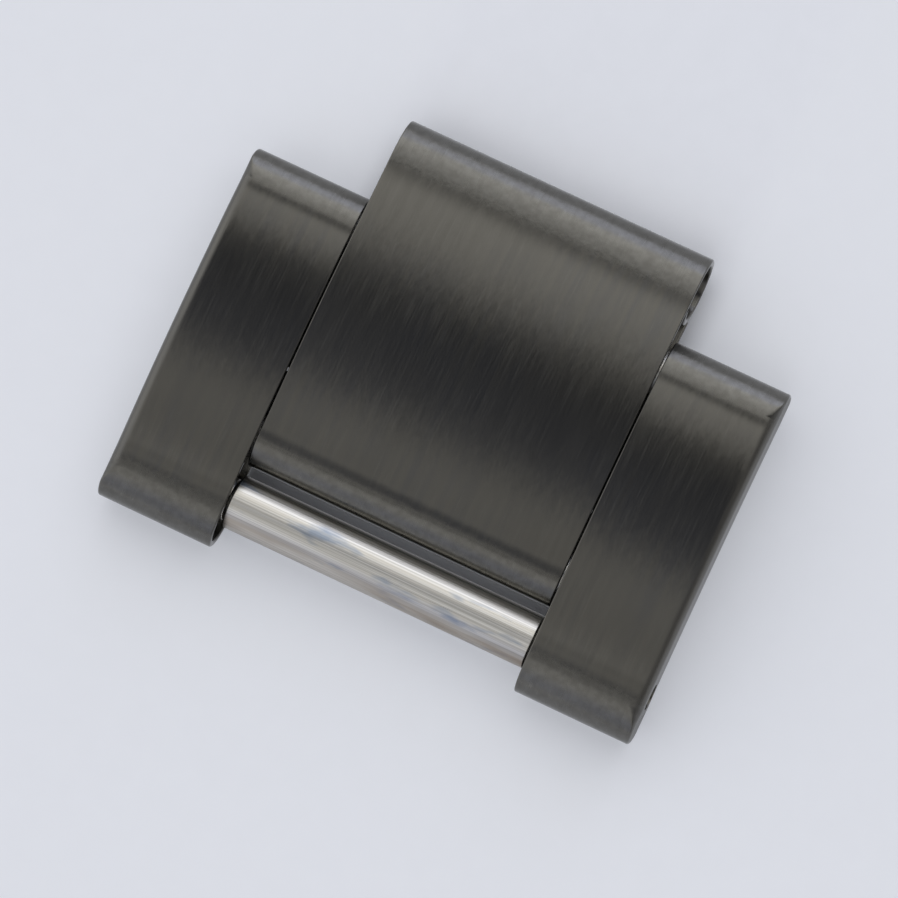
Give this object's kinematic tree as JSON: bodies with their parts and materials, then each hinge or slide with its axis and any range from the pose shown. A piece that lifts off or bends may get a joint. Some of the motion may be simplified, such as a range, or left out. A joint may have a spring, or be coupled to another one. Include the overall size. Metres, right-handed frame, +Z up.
{
  "type": "watch bracelet link",
  "caption": "Folded sheet watch bracelet link: a centre link with a protruding eye between hollow outer links, with a pivot tube and a removable split pin.",
  "frame": {"origin": "middle of the base, under the middle of the link's box", "axes": "+X across the bracelet, +Y along it towards the protruding eye, +Z up out of the visible face"},
  "size_m": [0.022, 0.0176, 0.0031],
  "materials": {
    "coated_steel": "brushed, gunmetal coated",
    "bare_steel": "bare drawn steel with heat tints"
  },
  "bodies": {
    "link": {"centre_link": "coated_steel", "left_outer_link": "coated_steel", "right_outer_link": "coated_steel", "left_pin_bush": "bare_steel", "right_pin_bush": "bare_steel", "upper_cross_bar": "bare_steel", "lower_cross_bar": "bare_steel"},
    "pivot_tube": {"pivot_tube": "bare_steel"},
    "split_pin": {"split_pin": "bare_steel"}
  },
  "joints": [
    {"name": "tube_turn", "type": "hinge", "parent": "link", "child": "pivot_tube", "pos_m": [0, -0.00687, 0.00134], "axis": [1, 0, 0], "continuous": true},
    {"name": "pin_slide", "type": "slide", "parent": "link", "child": "split_pin", "axis": [1, 0, 0], "range_m": [0, 0.0225]}
  ]
}
